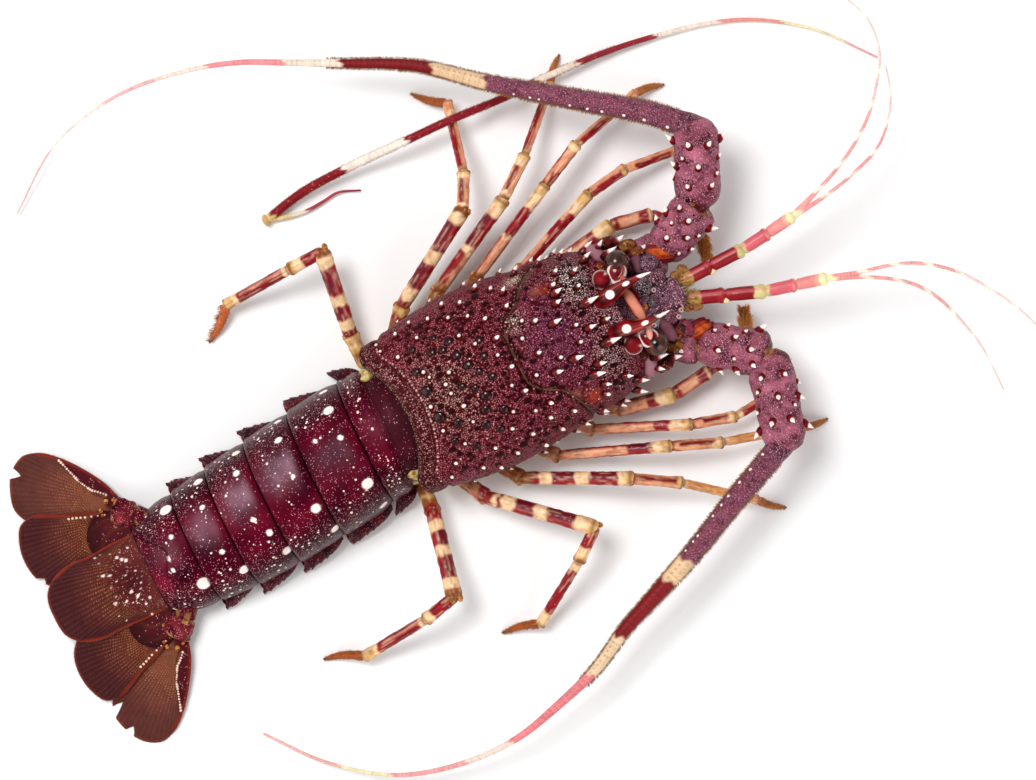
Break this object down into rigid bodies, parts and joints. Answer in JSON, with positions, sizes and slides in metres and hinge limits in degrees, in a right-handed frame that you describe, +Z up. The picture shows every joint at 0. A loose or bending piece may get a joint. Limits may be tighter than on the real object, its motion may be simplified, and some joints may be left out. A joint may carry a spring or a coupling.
{
  "type": "spiny lobster model",
  "caption": "Life-size still model of a spiny lobster lying on its underside, its legs spread, long banded feelers swept back and tail fan open.",
  "frame": {"origin": "middle of the footprint, on the floor that the animal lies on", "axes": "-Y towards the head, +Y towards the tail fan, +X towards the animal's left, +Z up"},
  "size_m": [0.2848, 0.382, 0.0598],
  "materials": {
    "carapace_shell": "hard shell, satin, dark wine red with pale speckle",
    "abdomen_shell": "hard shell, glossy, deep maroon with round white spots",
    "feeler_shell": "hard shell, satin, mauve with cream and dark red bands",
    "leg_shell": "hard shell, glossy, dark red with cream bands and stripes",
    "tail_fan": "horny leaf with fine rays, brown with a red edge",
    "eye": "glossy, near black",
    "horn_shell": "hard shell, glossy, dark red with pale tips",
    "underside": "hard shell and joint skin, matt, pale cream yellow"
  },
  "bodies": {
    "root": {"antenna_left_arm": "feeler_shell", "antenna_left_base": "feeler_shell", "antenna_left_flagellum_1": "feeler_shell", "antenna_left_flagellum_2": "feeler_shell", "antenna_left_wrist": "feeler_shell", "antenna_right_arm": "feeler_shell", "antenna_right_base": "feeler_shell", "antenna_right_flagellum_1": "feeler_shell", "antenna_right_flagellum_2": "feeler_shell", "antenna_right_wrist": "feeler_shell", "antennule_left_flagella": "feeler_shell", "antennule_left_peduncle": "feeler_shell", "antennule_right_flagella": "feeler_shell", "antennule_right_peduncle": "feeler_shell", "carapace": "carapace_shell", "eye_left": "eye", "eye_right": "eye", "feeler_loose_1": "feeler_shell", "feeler_loose_2": "feeler_shell", "head_front": "carapace_shell", "horn_left": "horn_shell", "horn_right": "horn_shell", "leg_left_1_lower": "leg_shell", "leg_left_1_upper": "leg_shell", "leg_left_2_lower": "leg_shell", "leg_left_2_upper": "leg_shell", "leg_left_3_lower": "leg_shell", "leg_left_3_upper": "leg_shell", "leg_left_4_lower": "leg_shell", "leg_left_4_upper": "leg_shell", "leg_left_5_lower": "leg_shell", "leg_left_5_upper": "leg_shell", "leg_right_1_lower": "leg_shell", "leg_right_1_upper": "leg_shell", "leg_right_2_lower": "leg_shell", "leg_right_2_upper": "leg_shell", "leg_right_3_lower": "leg_shell", "leg_right_3_upper": "leg_shell", "leg_right_4_lower": "leg_shell", "leg_right_4_upper": "leg_shell", "leg_right_5_lower": "leg_shell", "leg_right_5_upper": "leg_shell", "maxilliped_left": "leg_shell", "maxilliped_right": "leg_shell", "somite_1": "abdomen_shell", "somite_2": "abdomen_shell", "somite_3": "abdomen_shell", "somite_4": "abdomen_shell", "somite_5": "abdomen_shell", "somite_6": "abdomen_shell", "telson": "tail_fan", "thorax": "underside", "uropod_left_base": "abdomen_shell", "uropod_left_inner": "tail_fan", "uropod_left_outer": "tail_fan", "uropod_right_base": "abdomen_shell", "uropod_right_inner": "tail_fan", "uropod_right_outer": "tail_fan"}
  },
  "joints": []
}
